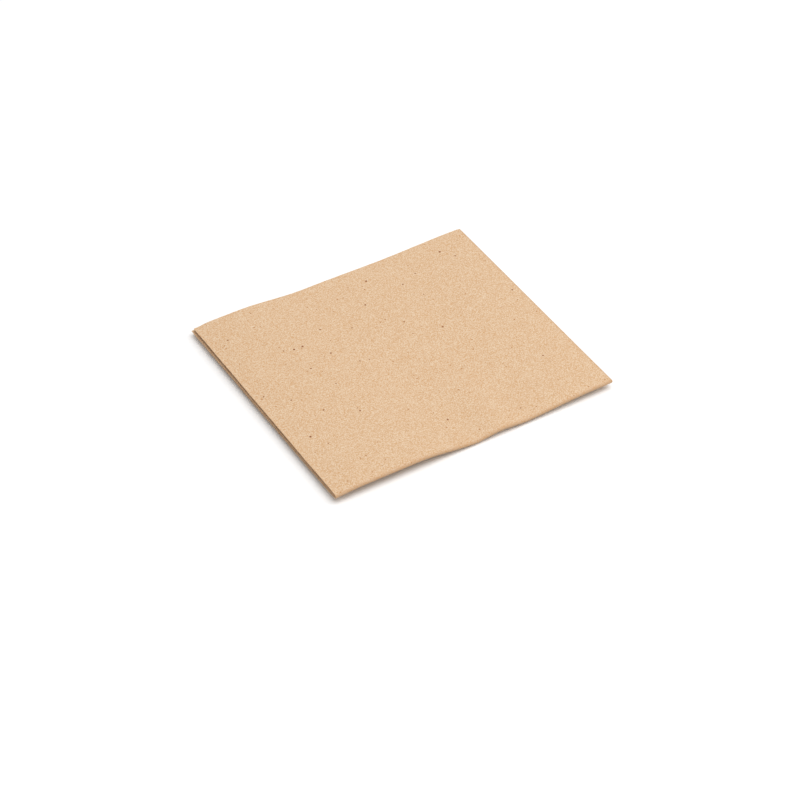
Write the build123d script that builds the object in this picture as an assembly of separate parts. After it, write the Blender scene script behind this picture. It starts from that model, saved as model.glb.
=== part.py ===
from build123d import *

import math
import os

# A quarter-folded kraft paper napkin, lying as it would on a table, in millimetres.
# It is one sheet of paper, folded in half twice, so it is one solid:
#   the first fold runs along Y, on the +X side, and lays the sheet on itself;
#   the second fold runs along X, on the -Y side, and lays that pair on itself.
# From the table up the four layers are 1 and 2 (lower pair), 3 and 4 (upper pair).
# The first fold joins 1 to 2 and 3 to 4. The second joins 2 to 3 inside 1 to 4.
# +Z is up, and the origin is under the middle of the folded napkin, on the table.

# The sheet
sheet_width = 254.0  # unfolded, along X
sheet_depth = 228.6  # unfolded, along Y
sheet_thickness = 0.26  # two plies of soft kraft tissue

# The folds
first_fold_gap = 0.42  # air between the two layers of a pair
second_fold_gap = 0.52  # air between the lower pair and the upper pair
first_fold_offset = 0.30  # how far layers 1 and 4 stand past 2 and 3 at the -X cut edges
second_fold_offset = 0.60  # how far the lower pair stands past the upper at the +Y cut edges

# The wave that the paper keeps. It runs across X and is the same all along Y.
corner_drop = 0.8  # from the crest down to the -X cut edges
crest_rise = 2.4  # from the flat run up to the crest
fold_rise = 1.6  # from the flat run up to the first fold
# Each run's share of the folded width, from the cut edges to the first fold
corner_share = 0.12
crest_share = 0.17
hollow_share = 0.17
flat_share = 0.26
lift_share = 1.0 - corner_share - crest_share - hollow_share - flat_share

# Heights in the folded stack, worked out from the sheet and its gaps
pair_height = 2 * sheet_thickness + first_fold_gap
turn_height = pair_height + second_fold_gap / 2
pair_turn_height = sheet_thickness + first_fold_gap / 2
inner_turn_radius = second_fold_gap / 2
outer_turn_radius = inner_turn_radius + sheet_thickness + first_fold_gap

# The folded outline
folded_width = sheet_width / 2
folded_depth = sheet_depth / 2
turn_y = turn_height - folded_depth / 2
lower_end_y = folded_depth / 2
upper_end_y = lower_end_y - second_fold_offset
cap_length = first_fold_gap / 2 + sheet_thickness
wave_width = folded_width - cap_length - first_fold_offset


def wrap(inside_radius):
    """Section of one layer around the second fold: two straight legs and a half ring.

    Drawn with the sketch's x along +Y and its y upwards.
    """
    outside_radius = inside_radius + sheet_thickness
    ring = Circle(outside_radius) - Circle(inside_radius)
    half_ring = ring & Rectangle(outside_radius, 2 * outside_radius, align=(Align.MAX, Align.CENTER))
    lower_length = lower_end_y - turn_y
    upper_length = upper_end_y - turn_y
    corner = (Align.MIN, Align.MIN)
    lower_leg = Pos(0, -outside_radius) * Rectangle(lower_length, sheet_thickness, align=corner)
    upper_leg = Pos(0, inside_radius) * Rectangle(upper_length, sheet_thickness, align=corner)
    return Pos(turn_y, turn_height) * (half_ring + lower_leg + upper_leg)


def station(x, z, heading):
    """Plane across the napkin at a point of its underside, facing along the heading."""
    ahead = (math.cos(heading), 0, math.sin(heading))
    return Plane(origin=(x, 0, z), x_dir=(0, 1, 0), z_dir=ahead)


def straight_run(section, plane, length):
    """One flat stretch of the folded layers, and the plane at its far end."""
    return extrude(plane * section, amount=length, dir=plane.z_dir), plane.offset(length)


def bent_run(section, plane, length, turn):
    """One stretch bent to an arc, turning up by turn (radians, down if negative)."""
    side = math.copysign(1, turn)
    radius = length / abs(turn)
    centre = plane.origin + plane.y_dir * (radius * side)
    axis = Axis(centre, plane.x_dir * -side)
    bent = revolve(plane * section, axis=axis, revolution_arc=math.degrees(abs(turn)))
    heading = math.atan2(plane.z_dir.Z, plane.z_dir.X) + turn
    up = Vector(-math.sin(heading), 0, math.cos(heading))
    end = centre - up * (radius * side)
    return bent, station(end.X, end.Z, heading)


def first_fold_cap(plane):
    """The first fold at the end of the layers: each pair's half ring, carried round the second fold.

    Built with x along +Y, y upwards and z ahead, then set on the end plane.
    """
    side = Plane(origin=(turn_y, 0, 0), x_dir=(0, 0, 1), z_dir=(-1, 0, 0))
    ring = Circle(cap_length) - Circle(first_fold_gap / 2)
    half_ring = ring & Rectangle(cap_length, 2 * cap_length, align=(Align.MIN, Align.CENTER))
    lower = side * Pos(0, pair_turn_height) * half_ring
    upper = side * Pos(0, 2 * turn_height - pair_turn_height) * half_ring
    lower_fold = extrude(lower, amount=lower_end_y - turn_y, dir=(1, 0, 0))
    upper_fold = extrude(upper, amount=upper_end_y - turn_y, dir=(1, 0, 0))
    turn_axis = Axis((turn_y, turn_height, 0), (0, 0, -1))
    corner = revolve(lower, axis=turn_axis, revolution_arc=180)
    return plane * (lower_fold + upper_fold + corner)


def folded_napkin():
    """The whole napkin, run by run from the -X cut edges to the first fold."""
    inner_wrap = wrap(inner_turn_radius)
    outer_wrap = wrap(outer_turn_radius)
    layers = inner_wrap + outer_wrap

    corner_length = corner_share * wave_width
    crest_length = crest_share * wave_width
    hollow_length = hollow_share * wave_width
    flat_length = flat_share * wave_width
    lift_length = lift_share * wave_width
    corner_turn = 2 * corner_drop / corner_length
    slope = 2 * crest_rise / (crest_length + hollow_length)
    lift_turn = 2 * fold_rise / lift_length

    plane = station(0, 0, corner_turn)
    edge_step, _ = straight_run(outer_wrap, plane.offset(-first_fold_offset), first_fold_offset)
    corner, plane = bent_run(layers, plane, corner_length, -corner_turn)
    crest, plane = bent_run(layers, plane, crest_length, -slope)
    hollow, plane = bent_run(layers, plane, hollow_length, slope)
    table_height = plane.origin.Z
    flat, plane = straight_run(layers, plane, flat_length)
    lift, plane = bent_run(layers, plane, lift_length, lift_turn)
    napkin = edge_step + corner + crest + hollow + flat + lift + first_fold_cap(plane)
    box = napkin.bounding_box()
    return Pos(-box.center().X, -box.center().Y, -table_height) * napkin


os.makedirs("parts", exist_ok=True)
export_step(folded_napkin(), "parts/folded_napkin.step")
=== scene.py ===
"""Looks of a quarter-folded kraft paper napkin, built around its packed CAD part.

The file is laid out as an add-on and is run as a script. Everything is in metres and in the part's own frame:
+Z is up from the table, the first fold is on the +X side and the second fold is on the -Y side.
"""

import math

import bpy
import numpy as np
from bpy.props import FloatProperty, FloatVectorProperty, PointerProperty
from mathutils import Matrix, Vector


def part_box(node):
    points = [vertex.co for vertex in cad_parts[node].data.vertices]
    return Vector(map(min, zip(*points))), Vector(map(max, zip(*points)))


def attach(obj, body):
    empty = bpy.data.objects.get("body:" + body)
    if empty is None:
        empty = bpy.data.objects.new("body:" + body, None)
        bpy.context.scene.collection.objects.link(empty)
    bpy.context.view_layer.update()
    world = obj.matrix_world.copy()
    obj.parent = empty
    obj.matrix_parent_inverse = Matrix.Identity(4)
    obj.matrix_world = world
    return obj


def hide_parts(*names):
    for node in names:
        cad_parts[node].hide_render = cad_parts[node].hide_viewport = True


bl_info = {
    "name": "Kraft Paper Napkin",
    "version": (1, 0, 0),
    "blender": (4, 5, 0),
    "location": "View3D > Sidebar > Napkin",
    "description": "Folds a sheet of kraft tissue into a napkin and sets it on a plain studio floor",
    "category": "Add Mesh",
}

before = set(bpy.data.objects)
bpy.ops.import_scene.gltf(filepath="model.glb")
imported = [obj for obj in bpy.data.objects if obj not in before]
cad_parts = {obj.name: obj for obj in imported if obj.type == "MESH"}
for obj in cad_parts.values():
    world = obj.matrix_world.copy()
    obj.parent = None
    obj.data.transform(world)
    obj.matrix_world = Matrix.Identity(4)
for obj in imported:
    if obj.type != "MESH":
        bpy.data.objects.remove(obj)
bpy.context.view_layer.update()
NODE = "folded_napkin"
LOW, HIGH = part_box(NODE)
MM = 0.001


# ---------------------------------------------------------------------------------------------------------------
# Sizes and colours that a user would change
# ---------------------------------------------------------------------------------------------------------------


def length(name, description, default):
    """A length in metres for a property group."""
    return FloatProperty(name=name, description=description, default=default, min=0.0, precision=5,
                         subtype="DISTANCE", unit="LENGTH")


def share(name, description, default):
    """A number from 0 to 1 for a property group."""
    return FloatProperty(name=name, description=description, default=default, min=0.0, max=1.0, subtype="FACTOR")


def colour(name, description, default):
    """A linear colour for a property group."""
    return FloatVectorProperty(name=name, description=description, default=default, size=3, min=0.0, max=1.0,
                               subtype="COLOR")


class NapkinSheet(bpy.types.PropertyGroup):
    """The flat sheet and its two folds."""

    width: length("Width", "Unfolded width of the sheet, along X", 254.0 * MM)
    depth: length("Depth", "Unfolded depth of the sheet, along Y", 228.6 * MM)
    thickness: length("Thickness", "Both plies of the tissue together", 0.26 * MM)
    first_gap: length("First fold gap", "Air between the two layers of a pair", 0.42 * MM)
    second_gap: length("Second fold gap", "Air between the lower and the upper pair", 0.52 * MM)
    first_offset: length("First offset", "How far the outer layers stand past the inner ones", 0.3 * MM)
    second_offset: length("Second offset", "How far the lower pair stands past the upper one", 0.4 * MM)
    first_skew: length("First skew", "How far the first fold is out of square over the sheet", 0.6 * MM)
    second_skew: length("Second skew", "How far the second fold is out of square over the sheet", 0.2 * MM)
    lower_turn: length("Lower turn", "How far the lower pair is turned out at the back of the cut edges", 0.8 * MM)
    press: share("Press", "Height of the stack at a pressed fold, as a share of its loose height", 0.5)
    press_reach: length("Press reach", "How far the stack takes to rise from a fold", 1.8 * MM)
    crease_height: share("Crease height", "Where in the loose stack's height a fold's crease lies", 0.7)
    slack: length("Slack", "How far each layer wanders up and down in the stack", 0.13 * MM)


class NapkinDrape(bpy.types.PropertyGroup):
    """How the folded napkin lies: its waves, its pressed creases and its open corner."""

    front_crest: length("Front crest", "Height of the wave by the cut edges, at the second fold", 2.85 * MM)
    back_crest: length("Back crest", "Height of the wave by the cut edges, at the back", 2.05 * MM)
    corner_drop: length("Corner drop", "How far the cut edges dip from the crest", 0.7 * MM)
    front_rise: length("Front rise", "Height of the first fold's front corner", 2.15 * MM)
    back_rise: length("Back rise", "Height of the first fold's back corner", 0.85 * MM)
    ripple: length("Ripple", "Height of the short wave in the second fold", 1.3 * MM)
    back_lift: length("Back lift", "How far the back edge hovers over the table", 0.35 * MM)
    opening: share("Opening", "How much thicker the stack is at its loose corner", 0.15)


class NapkinPaper(bpy.types.PropertyGroup):
    """Colours of the unbleached tissue, with painted shade along its folds and, in part, along its cut edges."""

    tissue: colour("Tissue", "Mean colour of the paper", (0.64, 0.436, 0.2675))
    pale: colour("Pale fibre", "Bleached fibres in the paper", (0.80, 0.64, 0.47))
    brown: colour("Brown fibre", "Darker fibres in the paper", (0.40, 0.22, 0.105))
    bark: colour("Bark", "Dark specks of bark in the paper", (0.23, 0.06, 0.004))
    shive: colour("Shive", "Fainter specks of wood in the paper", (0.36, 0.12, 0.008))
    # Cut edge: partly the colour of the open fibres, partly painted shade of the fibres and of the gaps between the
    # plies
    cut: colour("Cut edge", "Open fibres along the cut edges", (0.62, 0.41, 0.24))
    # Crease: painted shade, a darker orange-brown line along both folds where the fold turns down; the tissue has no
    # such colour
    crease: colour("Crease", "Strained fibres along the folds", (0.38, 0.19, 0.075))


class NapkinStage(bpy.types.PropertyGroup):
    """Floor, light and camera."""

    floor: colour("Floor", "Colour of the floor", (0.92, 0.92, 0.92))
    azimuth: FloatProperty(name="Azimuth", description="Camera's turn round the napkin", subtype="ANGLE",
                           unit="ROTATION", default=math.radians(-31.24))
    elevation: FloatProperty(name="Elevation", description="Camera's height over the floor", subtype="ANGLE",
                             unit="ROTATION", default=math.radians(42.18))
    distance: length("Distance", "From the camera to the point that it aims at", 1.0806)
    lens: FloatProperty(name="Lens", description="Focal length in millimetres", subtype="DISTANCE_CAMERA",
                        default=122.8, min=1.0)
    softbox: FloatProperty(name="Softbox", description="Power of the soft light near the first fold, in watts",
                           default=4.5, min=0.0)
    ceiling: FloatProperty(name="Ceiling", description="Strength of the wide soft light straight above", default=1.14,
                           min=0.0)
    fill: FloatProperty(name="Fill", description="Strength of the even light all round", default=0.52, min=0.0)


# ---------------------------------------------------------------------------------------------------------------
# Shape of the folded sheet
# ---------------------------------------------------------------------------------------------------------------


def ease(x):
    """A smooth step: 0 up to 0, 1 from 1, and 3x^2 - 2x^3 between."""
    x = np.clip(x, 0.0, 1.0)
    return x * x * (3.0 - 2.0 * x)


def swell(x):
    """A smooth hump: the square of the cosine of a quarter turn times x, 1 at 0 and 0 from -1 and 1 outwards."""
    return np.cos(0.5 * np.pi * np.clip(x, -1.0, 1.0)) ** 2


def stations(size, fold):
    """Places along one side of the flat sheet, closer together across its fold and at both cut ends.

    The steps are found from a density, in steps a metre: an even one, plus a bell over the fold and a decay from
    each end. Equal parts of the density's running sum give the places.
    """
    even, over_fold, at_ends = 1.5 * MM, 0.09 * MM, 0.5 * MM
    fold_reach, end_reach = 1.3 * MM, 1.5 * MM
    samples = 20001
    s = np.linspace(0.0, size, samples)
    density = 1 / even + (1 / over_fold - 1 / even) * np.exp(-(((s - fold) / fold_reach) ** 4))
    density += (1 / at_ends - 1 / even) * (np.exp(-s / end_reach) + np.exp((s - size) / end_reach))
    total = np.concatenate([[0.0], np.cumsum(0.5 * (density[1:] + density[:-1]) * np.diff(s))])
    count = int(round(total[-1]))
    return np.interp(np.linspace(0.0, total[-1], count + 1), total, s)


def hairpin(s, radius):
    """A strip bent back on itself. s runs along the strip from the middle of its fold.

    Within a quarter turn of the middle the strip follows a half ring. Past that it runs straight back, below for
    negative s and above for positive s. Returns how far each point lies back from the ring's centre, negative on
    the ring, and its height over that centre.
    """
    turn = np.clip(s / radius, -0.5 * np.pi, 0.5 * np.pi)
    straight = np.maximum(np.abs(s) - 0.5 * np.pi * radius, 0.0)
    return straight - radius * np.cos(turn), radius * np.sin(turn)


def ragged(s, waves, seed):
    """A cut line's waver along s: a sum of sines of the given wavelengths, each with its own phase, of unit size."""
    phases = np.random.default_rng(seed).uniform(0.0, 2.0 * np.pi, len(waves))
    return sum(np.sin(2.0 * np.pi * s / wave + phase) for wave, phase in zip(waves, phases)) / len(waves)


def table_wave(across, back, drape):
    """Height of the napkin's underside over the table. across runs from 0 at the cut edges to 1 at the first fold,
    and back from 0 at the second fold to 1 at the back edge.

    It is a crest by the cut edges that eases down to the table, less a dip at the edges themselves, plus a rise
    that eases up to the first fold and a short ripple that dies out behind the second fold. Each of these changes
    evenly from its front shape to its back shape.
    """

    def between(front, rear):
        return front + (rear - front) * back

    # Shares of the width, from the cut edges: where each part of the wave starts and how far it reaches
    crest_start, crest_reach = between(0.29, 0.15), between(0.23, 0.25)
    dip_reach = between(0.10, 0.06)
    rise_start, rise_reach = between(0.58, 0.70), between(0.36, 0.32)
    ripple_middle, ripple_reach, ripple_depth = 0.59, 0.10, 0.45

    crest = between(drape.front_crest, drape.back_crest) * (1.0 - ease((across - crest_start) / crest_reach))
    dip = drape.corner_drop * (1.0 - ease(across / dip_reach))
    rise = between(drape.front_rise, drape.back_rise) * ease((across - rise_start) / rise_reach)
    ripple = drape.ripple * swell((across - ripple_middle) / ripple_reach) * swell(back / ripple_depth)
    return crest - dip + rise + ripple + drape.back_lift * ease(back)


def fold_lines(p, q, sheet):
    """How far flat places p (across) and q (along) lie past the first and the second fold line. The outer half of
    the sheet and the half that ends up below are the longer ones, and each line is a little out of square."""
    first = 0.5 * (sheet.width + sheet.first_offset) + sheet.first_skew * (q / sheet.depth - 0.5)
    second = 0.5 * (sheet.depth + sheet.second_offset) + sheet.second_skew * (p / sheet.width - 0.5)
    return p - first, q - second


def folded_points(p, q, sheet, drape):
    """The middle of the sheet's thickness, folded and draped, for flat places p (across) and q (along).

    The first hairpin folds the width over at the +X side, and the second folds the pair over at the -Y side, with
    a radius that is less for the inner layer. Both are pressed: their radii and the stack's height there are the
    same share of the loose ones, and the stack rises from that to its loose height along a decay. The lower pair is
    turned a little about the corner of the folds, by a shift towards -X that grows evenly to the back. The stack
    opens at its loose corner, each layer wanders by a product of sines, and all stand on the wave of the underside.
    """
    closed_at_fold = 0.6  # share of the opening that is gone at the first fold
    waves_across, waves_along = (71.0 * MM, 43.0 * MM), (47.0 * MM, 23.0 * MM)
    corner_power = 8  # how sharply the two folds' pressed strips meet at their corner

    layer = sheet.thickness
    pair = 2.0 * layer + sheet.first_gap
    turn_height = pair + 0.5 * sheet.second_gap
    first_radius = 0.5 * (layer + sheet.first_gap)
    past_first, past_second = fold_lines(p, q, sheet)

    back, lift = hairpin(past_first, sheet.press * first_radius)
    x = HIGH.x - sheet.press * first_radius - 0.5 * layer - back
    height = 0.5 * pair + lift / sheet.press
    second_radius = sheet.press * (turn_height - height)
    back, lift = hairpin(past_second, second_radius)
    y = LOW.y + sheet.press * (turn_height - 0.5 * layer) + 0.5 * layer + back
    stack = turn_height + lift / sheet.press

    behind = (y - LOW.y) / (HIGH.y - LOW.y)
    turned_x = x - sheet.lower_turn * behind * 0.5 * (1.0 - lift / second_radius)
    across = (turned_x - LOW.x) / (HIGH.x - LOW.x)
    near_first = np.exp(-np.maximum(HIGH.x - x, 0.0) / sheet.press_reach)
    near_second = np.exp(-np.maximum(y - LOW.y, 0.0) / sheet.press_reach)
    pressed = (near_first**corner_power + near_second**corner_power) ** (1 / corner_power)
    opened = 1.0 + drape.opening * ease(behind) * (1.0 - closed_at_fold * across)
    wander = ragged(p, waves_across, 3) * ragged(q, waves_along, 5)
    loose = stack * opened + sheet.slack * wander
    crease = 2.0 * turn_height * sheet.crease_height
    height = crease + (loose - crease) * (1.0 - (1.0 - sheet.press) * pressed)
    return np.stack([turned_x, y, table_wave(across, behind, drape) + height], axis=-1)


def unit_normals(points):
    """Unit normals of a grid of points: the cross product of its two central differences."""
    along_p, along_q = np.gradient(points, axis=0), np.gradient(points, axis=1)
    normals = np.cross(along_p, along_q)
    return normals / np.linalg.norm(normals, axis=-1, keepdims=True)


def rim_order(rows, columns):
    """Flat indices of a grid's outline, once round, starting along the first column."""
    index = np.arange(rows * columns).reshape(rows, columns)
    return np.concatenate([index[:-1, 0], index[-1, :-1], index[:0:-1, -1], index[0, :0:-1]])


def cell_corners(grid):
    """The values of a grid at the four corners of each of its cells, anticlockwise, one row a cell."""
    return np.stack([grid[:-1, :-1], grid[1:, :-1], grid[1:, 1:], grid[:-1, 1:]], axis=-1).reshape(-1, 4)


def bake_layout(p, q, seam, rim_steps):
    """Where each face corner lies on the unit square, for finishes that are baked to an image.

    The outer side of the outer half, which is all that shows of a folded napkin, has the left part of the square.
    The other three halves are stacked on its right, each turned by a quarter, and the rim is a thin strip along
    the right edge. Within each part the places are proportional to those on the flat sheet.
    """
    edge, split, strip = 0.006, 0.545, 0.988
    slots, slot_margin = 3, 0.02
    outside, ply, inside = strip + 0.001, strip + 0.0055, strip + 0.010
    across, along = cell_corners(p), cell_corners(q) / q.max()
    outer_half = (across.mean(axis=1) < seam)[:, None]
    across = np.where(outer_half, across / seam, (across - seam) / (p.max() - seam))

    def turned(slot):
        low, height = (slot + slot_margin) / slots, (1.0 - 2.0 * slot_margin) / slots
        return np.stack([split + edge + (strip - split - 2.0 * edge) * along, low + height * across], axis=-1)

    shown = np.stack([edge + (split - 2.0 * edge) * across, edge + (1.0 - 2.0 * edge) * along], axis=-1)
    outer_side = np.where(outer_half[..., None], shown, turned(0.0))
    inner_side = turned(np.where(outer_half, 1.0, 2.0))[:, ::-1]
    reached = np.concatenate([[0.0], np.cumsum(rim_steps)]) / rim_steps.sum()
    start, end = reached[:-1], reached[1:]

    def strip_cells(near, far):
        corners = ((near, end), (near, start), (far, start), (far, end))
        return np.stack([np.stack([np.full_like(v, u), v], axis=-1) for u, v in corners], axis=1)

    return np.concatenate([outer_side, inner_side, strip_cells(outside, ply), strip_cells(ply, inside)])


def cut_places(p, q, sheet):
    """Places on the flat sheet with its cut edges out of line: near each edge they are moved across it by a waver
    that dies away inwards along a decay. The waver is read further on at the far edge, so the two don't match."""
    waver, near_edge = 0.07 * MM, 2.0 * MM
    edge_waves = (31.0 * MM, 11.0 * MM, 4.3 * MM, 1.9 * MM)
    further_on = 3.0
    p_edge = np.exp(-(sheet.width - p) / near_edge) - np.exp(-p / near_edge)
    q_edge = np.exp(-(sheet.depth - q) / near_edge) - np.exp(-q / near_edge)
    return (p + waver * p_edge * ragged(q + further_on * p, edge_waves, 7),
            q + waver * q_edge * ragged(p + further_on * q, edge_waves, 11))


def napkin_mesh(sheet, drape):
    """The whole sheet as one closed mesh: an outer and an inner face half a thickness each side of the middle, and
    a rim along the cut edges with a shallow groove between the two plies."""
    groove = 0.06 * MM
    # How far the painted crease shade reaches from the first and the second fold line
    first_crease_shade_width, second_crease_shade_width = 0.7 * MM, 1.0 * MM
    past_fold = 2.0 * MM  # the baked halves part this far past the middle of the sheet

    p = stations(sheet.width, 0.5 * (sheet.width + sheet.first_offset))
    q = stations(sheet.depth, 0.5 * (sheet.depth + sheet.second_offset))
    rows, columns = len(p), len(q)
    p, q = np.meshgrid(p, q, indexing="ij")
    middle = folded_points(*cut_places(p, q, sheet), sheet, drape)
    normals = unit_normals(middle)
    half = 0.5 * sheet.thickness
    outer = (middle + half * normals).reshape(-1, 3)
    inner = (middle - half * normals).reshape(-1, 3)

    rim = rim_order(rows, columns)
    rim_middle = middle.reshape(-1, 3)[rim]
    steps = np.roll(rim_middle, -1, axis=0) - np.roll(rim_middle, 1, axis=0)
    outward = np.cross(steps, normals.reshape(-1, 3)[rim])
    outward /= np.linalg.norm(outward, axis=1, keepdims=True)
    points = np.concatenate([outer, inner, rim_middle - groove * outward])
    points[:, 2] -= points[:, 2].min()

    count = rows * columns
    cells = cell_corners(np.arange(count).reshape(rows, columns))
    rim_next, ply = np.roll(rim, -1), 2 * count + np.arange(len(rim))
    ply_next = np.roll(ply, -1)
    upper_rim = np.stack([rim_next, rim, ply, ply_next], axis=-1)
    lower_rim = np.stack([ply_next, ply, rim + count, rim_next + count], axis=-1)
    faces = np.concatenate([cells, cells[:, ::-1] + count, upper_rim, lower_rim])

    offset = np.concatenate([np.full(count, half), np.full(count, -half), np.zeros(len(rim))])
    flat = np.stack([p, q], axis=-1).reshape(-1, 2)
    flat = np.concatenate([flat, flat, flat[rim]])
    place = np.concatenate([flat, offset[:, None]], axis=1)
    past_first, past_second = fold_lines(flat[:, 0], flat[:, 1], sheet)
    # Where the painted crease shade goes: a bell over each fold line on the flat sheet
    crease = np.exp(-((past_second / second_crease_shade_width) ** 2)) + np.exp(-((past_first / first_crease_shade_width) ** 2))
    # Where the cut-edge colour goes: half along the faces' last row and full in the groove between the plies, where
    # it is partly painted shade
    cut = np.zeros(len(points))
    cut[rim] = cut[rim + count] = 0.5
    cut[2 * count:] = 1.0

    mesh = bpy.data.meshes.new("kraft_napkin")
    mesh.from_pydata(points, [], faces)
    mesh.update(calc_edges=True)
    mesh.polygons.foreach_set("use_smooth", np.ones(len(faces), dtype=bool))
    ends = np.empty(2 * len(mesh.edges), dtype=np.int32)
    mesh.edges.foreach_get("vertices", ends)
    on_rim = np.zeros(len(points), dtype=bool)
    on_rim[rim] = on_rim[rim + count] = True
    sharp = on_rim[ends.reshape(-1, 2)].all(axis=1)
    mesh.attributes.new("sharp_edge", "BOOLEAN", "EDGE").data.foreach_set("value", sharp)
    rim_steps = np.linalg.norm(outer[rim_next] - outer[rim], axis=1)
    seam = p[np.searchsorted(p[:, 0], 0.5 * sheet.width + past_fold), 0]
    layout = mesh.uv_layers.new(name="OFBake")
    layout.data.foreach_set("uv", bake_layout(p, q, seam, rim_steps).astype(np.float32).ravel())
    for name, kind, field, values in (("sheet_place", "FLOAT_VECTOR", "vector", place),
                                      ("cut_edge", "FLOAT", "value", cut),
                                      ("crease", "FLOAT", "value", np.minimum(crease, 1.0))):
        attribute = mesh.attributes.new(name, kind, "POINT")
        attribute.data.foreach_set(field, values.astype(np.float32).ravel())
    return mesh


# ---------------------------------------------------------------------------------------------------------------
# Paper
# ---------------------------------------------------------------------------------------------------------------


def add(tree, kind, inputs=None, **settings):
    """A new node with its settings and the values or links of its inputs, by name or number. The settings are made
    first, because they may change which inputs there are."""
    node = tree.nodes.new(kind)
    for name, value in settings.items():
        setattr(node, name, value)
    for name, value in (inputs or {}).items():
        if isinstance(value, bpy.types.NodeSocket):
            tree.links.new(value, node.inputs[name])
        else:
            node.inputs[name].default_value = value
    return node


def new_group(name, inputs, outputs):
    """A shader node group with the given sockets, and its input and output nodes."""
    tree = bpy.data.node_groups.new(name, "ShaderNodeTree")
    for direction, sockets in (("INPUT", inputs), ("OUTPUT", outputs)):
        for socket, kind in sockets:
            tree.interface.new_socket(socket, in_out=direction, socket_type=kind)
    return tree, tree.nodes.new("NodeGroupInput").outputs, tree.nodes.new("NodeGroupOutput").inputs


def fibre_group():
    """Curly fibres: the thin bands where a smooth noise passes its middle value, kept only in scattered patches that
    a second noise picks out, read some way off so that the two don't match.

    Length is the size of the fibre's curls in metres, Width the share of the noise's range that a fibre covers,
    and Cover how much of the paper has them.
    """
    uncovered = 0.75  # less Cover, the second noise's value up to which there are no fibres
    patch_edge = 0.08  # how much higher that noise is where all the fibres are kept
    tree, given, result = new_group(
        "Paper fibres",
        [("Place", "NodeSocketVector"), ("Length", "NodeSocketFloat"), ("Width", "NodeSocketFloat"),
         ("Cover", "NodeSocketFloat")],
        [("Mask", "NodeSocketFloat")])
    scale = add(tree, "ShaderNodeMath", {0: 1.0, 1: given["Length"]}, operation="DIVIDE").outputs[0]
    curls = add(tree, "ShaderNodeTexNoise", {"Vector": given["Place"], "Scale": scale, "Detail": 2.0,
                                             "Roughness": 0.45, "Distortion": 0.6})
    from_middle = add(tree, "ShaderNodeMath", {0: curls.outputs["Fac"], 1: 0.5}, operation="SUBTRACT")
    distance = add(tree, "ShaderNodeMath", {0: from_middle.outputs[0]}, operation="ABSOLUTE")
    band = add(tree, "ShaderNodeMapRange", {"Value": distance.outputs[0], "From Max": given["Width"],
                                            "To Min": 1.0, "To Max": 0.0}, interpolation_type="SMOOTHSTEP")
    apart = add(tree, "ShaderNodeVectorMath", {0: given["Place"], 1: (0.31, 0.17, 0.05)}, operation="ADD")
    patches = add(tree, "ShaderNodeTexNoise", {"Vector": apart.outputs[0], "Scale": scale, "Detail": 1.0})
    bare = add(tree, "ShaderNodeMath", {0: uncovered, 1: given["Cover"]}, operation="SUBTRACT")
    bare_end = add(tree, "ShaderNodeMath", {0: bare.outputs[0], 1: patch_edge}, operation="ADD")
    kept = add(tree, "ShaderNodeMapRange", {"Value": patches.outputs["Fac"], "From Min": bare.outputs[0],
                                            "From Max": bare_end.outputs[0]}, interpolation_type="SMOOTHSTEP")
    mask = add(tree, "ShaderNodeMath", {0: band.outputs[0], 1: kept.outputs[0]}, operation="MULTIPLY")
    tree.links.new(mask.outputs[0], result["Mask"])
    return tree


def speck_group():
    """Scattered specks: in each cell of a Voronoi pattern the distance to the cell's point is held against a
    radius of the cell's own, and only the few cells whose random number passes the bar hold a speck. A speck fades
    out from half its radius.

    Spacing is the size of a cell and Radius that of the largest speck, both in metres, and Share is how many of
    the cells hold a speck.
    """
    smallest, solid_part = 0.45, 0.5  # shares of the largest radius and of a speck's own radius
    tree, given, result = new_group(
        "Bark specks",
        [("Place", "NodeSocketVector"), ("Spacing", "NodeSocketFloat"), ("Radius", "NodeSocketFloat"),
         ("Share", "NodeSocketFloat")],
        [("Mask", "NodeSocketFloat")])
    scale = add(tree, "ShaderNodeMath", {0: 1.0, 1: given["Spacing"]}, operation="DIVIDE").outputs[0]
    cells = add(tree, "ShaderNodeTexVoronoi", {"Vector": given["Place"], "Scale": scale}, voronoi_dimensions="2D")
    radius = add(tree, "ShaderNodeMath", {0: given["Radius"], 1: scale}, operation="MULTIPLY")
    draw = add(tree, "ShaderNodeSeparateColor", {0: cells.outputs["Color"]})
    uneven = add(tree, "ShaderNodeMapRange", {"Value": draw.outputs[1], "To Min": smallest, "To Max": 1.0})
    own_radius = add(tree, "ShaderNodeMath", {0: radius.outputs[0], 1: uneven.outputs[0]}, operation="MULTIPLY")
    solid = add(tree, "ShaderNodeMath", {0: own_radius.outputs[0], 1: solid_part}, operation="MULTIPLY")
    spot = add(tree, "ShaderNodeMapRange", {"Value": cells.outputs["Distance"], "From Min": own_radius.outputs[0],
                                            "From Max": solid.outputs[0]}, interpolation_type="SMOOTHSTEP")
    bar = add(tree, "ShaderNodeMath", {0: 1.0, 1: given["Share"]}, operation="SUBTRACT")
    chosen = add(tree, "ShaderNodeMath", {0: draw.outputs[0], 1: bar.outputs[0]}, operation="GREATER_THAN")
    mask = add(tree, "ShaderNodeMath", {0: spot.outputs[0], 1: chosen.outputs[0]}, operation="MULTIPLY")
    tree.links.new(mask.outputs[0], result["Mask"])
    return tree


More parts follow.
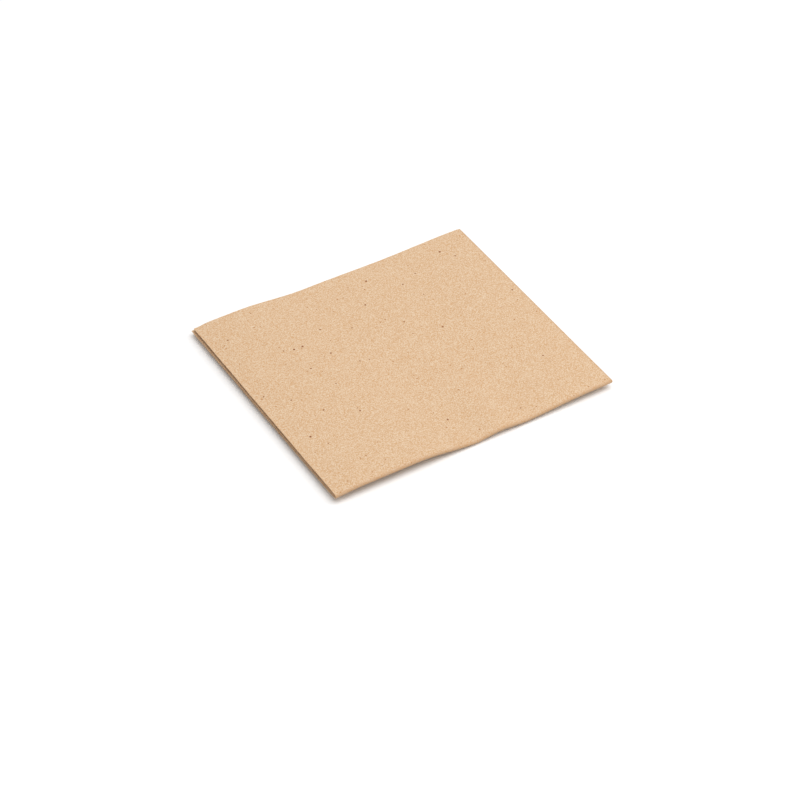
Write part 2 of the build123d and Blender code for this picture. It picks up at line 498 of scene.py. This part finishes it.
def grain_group():
    """Tissue grain: fine noise with a little coarser noise mixed in, spread out round one half by Contrast. Fine
    and Coarse are the sizes of the two noises in metres."""
    coarse_share = 0.05
    tree, given, result = new_group(
        "Tissue grain",
        [("Place", "NodeSocketVector"), ("Fine", "NodeSocketFloat"), ("Coarse", "NodeSocketFloat"),
         ("Contrast", "NodeSocketFloat")],
        [("Value", "NodeSocketFloat")])
    fine_scale = add(tree, "ShaderNodeMath", {0: 1.0, 1: given["Fine"]}, operation="DIVIDE")
    coarse_scale = add(tree, "ShaderNodeMath", {0: 1.0, 1: given["Coarse"]}, operation="DIVIDE")
    fine = add(tree, "ShaderNodeTexNoise", {"Vector": given["Place"], "Scale": fine_scale.outputs[0],
                                            "Detail": 3.0, "Roughness": 0.7})
    coarse = add(tree, "ShaderNodeTexNoise", {"Vector": given["Place"], "Scale": coarse_scale.outputs[0],
                                              "Detail": 4.0, "Roughness": 0.55})
    both = add(tree, "ShaderNodeMix", {"Factor": coarse_share, 2: fine.outputs["Fac"],
                                       3: coarse.outputs["Fac"]}, data_type="FLOAT")
    centred = add(tree, "ShaderNodeMath", {0: both.outputs[0], 1: 0.5}, operation="SUBTRACT")
    value = add(tree, "ShaderNodeMath", {0: centred.outputs[0], 1: given["Contrast"], 2: 0.5},
                operation="MULTIPLY_ADD", use_clamp=True)
    tree.links.new(value.outputs[0], result["Value"])
    return tree


def shade(tone, factors):
    """A colour with each channel multiplied by its factor, with full alpha."""
    return tuple(min(1.0, c * f) for c, f in zip(tone, factors)) + (1.0,)


def mix_colour(tree, factor, a, b):
    """The output of a node that goes from colour a to colour b with the factor."""
    return add(tree, "ShaderNodeMix", {0: factor, 6: a, 7: b}, data_type="RGBA").outputs[2]


def scaled(tree, value, by):
    """The output of a node that multiplies a value by a number."""
    return add(tree, "ShaderNodeMath", {0: value, 1: by}, operation="MULTIPLY").outputs[0]


def from_group(tree, group, place, **values):
    """The output of a group's node that reads its pattern at place, with its other inputs set to values."""
    return add(tree, "ShaderNodeGroup", {"Place": place, **values}, node_tree=group).outputs[0]


def kraft_tissue(paper):
    """Matte unbleached tissue. The patterns are laid out on the flat sheet, so they follow it round the folds."""
    material = bpy.data.materials.new("kraft_tissue")
    material.use_nodes = True
    tree = material.node_tree
    surface = tree.nodes["Principled BSDF"]
    place = add(tree, "ShaderNodeAttribute", attribute_name="sheet_place").outputs["Vector"]
    cut = add(tree, "ShaderNodeAttribute", attribute_name="cut_edge").outputs["Fac"]
    # crease: mask of the painted shade along the folds
    crease = add(tree, "ShaderNodeAttribute", attribute_name="crease").outputs["Fac"]

    grain = from_group(tree, grain_group(), place, Fine=0.50 * MM, Coarse=7.0 * MM, Contrast=3.4)
    dark, light = (0.85, 0.68, 0.47), (1.15, 1.32, 1.53)  # the grain's ends, as factors of the tissue's colour
    tone = mix_colour(tree, grain, shade(paper.tissue, dark), shade(paper.tissue, light))

    # Curl length, width, cover, strength and colour of each kind of fibre, and how far its pattern is moved
    fibre_kinds = (
        (2.6 * MM, 0.022, 0.24, 0.26, paper.pale, 0.4),
        (1.5 * MM, 0.030, 0.22, 0.18, paper.pale, 0.9),
        (2.9 * MM, 0.018, 0.20, 0.25, paper.brown, 1.3),
    )
    group, fibres = fibre_group(), []
    for curl, width, cover, strength, fibre, shift in fibre_kinds:
        moved = add(tree, "ShaderNodeVectorMath", {0: place, 1: (shift, 2.0 * shift, 0.0)}, operation="ADD")
        fibres.append(from_group(tree, group, moved.outputs[0], Length=curl, Width=width, Cover=cover))
        tone = mix_colour(tree, scaled(tree, fibres[-1], strength), tone, (*fibre, 1.0))

    # Spacing, largest radius, share of cells, strength and colour of each kind of speck
    speck_kinds = (
        (4.0 * MM, 0.64 * MM, 0.034, 0.95, paper.bark),
        (2.6 * MM, 0.48 * MM, 0.055, 0.72, paper.shive),
    )
    group = speck_group()
    for spacing, radius, share_of_cells, strength, speck in speck_kinds:
        specks = from_group(tree, group, place, Spacing=spacing, Radius=radius, Share=share_of_cells)
        tone = mix_colour(tree, scaled(tree, specks, strength), tone, (*speck, 1.0))

    # Cut edges: the open fibres' colour mixed with painted shade, strongest in the groove between the plies and
    # varied by the grain
    frayed_and_shaded = add(tree, "ShaderNodeMath", {0: cut, 1: grain}, operation="MULTIPLY")
    cut_tint_and_shade = add(tree, "ShaderNodeMapRange", {"Value": frayed_and_shaded.outputs[0], "From Max": 0.45, "To Max": 0.85})
    tone = mix_colour(tree, cut_tint_and_shade.outputs[0], tone, (*paper.cut, 1.0))
    # Painted shade along the folds: a darker orange-brown line, stronger where the grain is high; bent is the crease
    # mask weighted by the grain
    crease_shade_strength = 0.42
    bent = add(tree, "ShaderNodeMath", {0: crease, 1: 0.5, 2: grain}, operation="MULTIPLY_ADD")
    painted_crease_shade = add(tree, "ShaderNodeMath", {0: crease, 1: bent.outputs[0]}, operation="MULTIPLY")
    tone = mix_colour(tree, scaled(tree, painted_crease_shade.outputs[0], crease_shade_strength), tone, (*paper.crease, 1.0))
    tree.links.new(tone, surface.inputs["Base Color"])

    rough = add(tree, "ShaderNodeMapRange", {"Value": grain, "To Min": 0.96, "To Max": 0.82})
    tree.links.new(rough.outputs[0], surface.inputs["Roughness"])
    surface.inputs["Specular IOR Level"].default_value = 0.25
    surface.inputs["Sheen Weight"].default_value = 0.12
    surface.inputs["Sheen Roughness"].default_value = 0.6

    raised = add(tree, "ShaderNodeMath", {0: fibres[0], 1: fibres[1]}, operation="ADD")
    height = add(tree, "ShaderNodeMath", {0: raised.outputs[0], 1: 0.5, 2: grain}, operation="MULTIPLY_ADD")
    bump = add(tree, "ShaderNodeBump", {"Height": height.outputs[0], "Strength": 0.6, "Distance": 0.05 * MM})
    tree.links.new(bump.outputs["Normal"], surface.inputs["Normal"])
    return material


# ---------------------------------------------------------------------------------------------------------------
# Stage
# ---------------------------------------------------------------------------------------------------------------


def direction(azimuth, elevation):
    """Unit vector from the napkin towards a place round it. Azimuth 0 is on the -Y side and 90 degrees on the +X
    side, and elevation is measured up from the floor."""
    flat = math.cos(elevation)
    return Vector((math.sin(azimuth) * flat, -math.cos(azimuth) * flat, math.sin(elevation)))


def aimed(name, data, place, target):
    """An object in the scene that stands at place and looks at target."""
    thing = bpy.data.objects.new(name, data)
    thing.location = place
    thing.rotation_euler = (target - place).to_track_quat("-Z", "Y").to_euler()
    bpy.context.scene.collection.objects.link(thing)
    return thing


def studio_floor(tone):
    """A square floor under the napkin, with a plain matte surface."""
    half = 3.0
    corners = np.array([(-half, -half, 0.0), (half, -half, 0.0), (half, half, 0.0), (-half, half, 0.0)])
    mesh = bpy.data.meshes.new("studio_floor")
    mesh.from_pydata(corners, [], [(0, 1, 2, 3)])
    material = bpy.data.materials.new("studio_floor")
    material.use_nodes = True
    surface = material.node_tree.nodes["Principled BSDF"]
    surface.inputs["Base Color"].default_value = (*tone, 1.0)
    surface.inputs["Roughness"].default_value = 0.9
    surface.inputs["Specular IOR Level"].default_value = 0.1
    mesh.materials.append(material)
    floor = bpy.data.objects.new("studio_floor", mesh)
    bpy.context.scene.collection.objects.link(floor)
    return floor


# ---------------------------------------------------------------------------------------------------------------
# Operators and panel
# ---------------------------------------------------------------------------------------------------------------


class NAPKIN_OT_fold(bpy.types.Operator):
    """Fold the kraft sheet into a napkin and let it stand for the CAD part"""

    bl_idname = "napkin.fold"
    bl_label = "Fold Napkin"

    def execute(self, context):
        scene = context.scene
        piece = bpy.data.objects.new("kraft_napkin", napkin_mesh(scene.napkin_sheet, scene.napkin_drape))
        scene.collection.objects.link(piece)
        piece.data.materials.append(kraft_tissue(scene.napkin_paper))
        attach(piece, "root")
        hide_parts(NODE)
        return {"FINISHED"}


class NAPKIN_OT_stage(bpy.types.Operator):
    """Set the floor, the soft studio light and the camera"""

    bl_idname = "napkin.stage"
    bl_label = "Set Stage"

    def execute(self, context):
        scene, stage = context.scene, context.scene.napkin_stage
        studio_floor(stage.floor)
        middle = Vector(((LOW.x + HIGH.x) / 2, (LOW.y + HIGH.y) / 2, 0.0))

        softbox_width, softbox_away = 0.9, 1.0
        softbox_place = middle + softbox_away * direction(math.radians(50.0), math.radians(62.0))
        softbox = bpy.data.lights.new("softbox", "AREA")
        softbox.shape, softbox.size, softbox.energy = "DISK", softbox_width, stage.softbox
        aimed("softbox", softbox, softbox_place, middle)
        ceiling_place = middle + direction(0.0, math.radians(84.0))
        ceiling_spread = math.radians(50.0)
        ceiling = bpy.data.lights.new("ceiling_light", "SUN")
        ceiling.angle, ceiling.energy = ceiling_spread, stage.ceiling
        aimed("ceiling_light", ceiling, ceiling_place, middle)

        world = bpy.data.worlds.new("studio_fill")
        world.use_nodes = True
        tree = world.node_tree
        seen = add(tree, "ShaderNodeLightPath").outputs["Is Camera Ray"]
        strength = add(tree, "ShaderNodeMapRange", {"Value": seen, "To Min": stage.fill, "To Max": 1.0})
        tree.links.new(strength.outputs[0], tree.nodes["Background"].inputs["Strength"])
        tree.nodes["Background"].inputs["Color"].default_value = (1.0, 1.0, 1.0, 1.0)
        scene.world = world

        target = middle + Vector((-12.3 * MM, -19.2 * MM, 0.0))  # the napkin stands a little off the view's middle
        lens = bpy.data.cameras.new("camera")
        lens.lens, lens.sensor_width = stage.lens, 36.0
        lens.clip_start, lens.clip_end = 0.05, 20.0
        place = target + stage.distance * direction(stage.azimuth, stage.elevation)
        scene.camera = aimed("camera", lens, place, target)
        scene.view_settings.view_transform = "Standard"
        return {"FINISHED"}


class NAPKIN_PT_panel(bpy.types.Panel):
    """Sizes, colours and steps of the napkin"""

    bl_idname = "NAPKIN_PT_panel"
    bl_label = "Kraft Paper Napkin"
    bl_space_type = "VIEW_3D"
    bl_region_type = "UI"
    bl_category = "Napkin"

    def draw(self, context):
        for settings in GROUPS:
            box = self.layout.box()
            box.label(text=GROUPS[settings].__doc__)
            for name in GROUPS[settings].__annotations__:
                box.prop(getattr(context.scene, settings), name)
        for operator in OPERATORS:
            self.layout.operator(operator.bl_idname)


GROUPS = {
    "napkin_sheet": NapkinSheet,
    "napkin_drape": NapkinDrape,
    "napkin_paper": NapkinPaper,
    "napkin_stage": NapkinStage,
}
OPERATORS = (NAPKIN_OT_fold, NAPKIN_OT_stage)


def register():
    for name, group in GROUPS.items():
        bpy.utils.register_class(group)
        setattr(bpy.types.Scene, name, PointerProperty(type=group))
    for operator in OPERATORS:
        bpy.utils.register_class(operator)
    bpy.utils.register_class(NAPKIN_PT_panel)


def unregister():
    bpy.utils.unregister_class(NAPKIN_PT_panel)
    for operator in reversed(OPERATORS):
        bpy.utils.unregister_class(operator)
    for name, group in reversed(GROUPS.items()):
        delattr(bpy.types.Scene, name)
        bpy.utils.unregister_class(group)


def main():
    register()
    bpy.ops.napkin.fold()
    bpy.ops.napkin.stage()


if __name__ == "__main__":
    main()
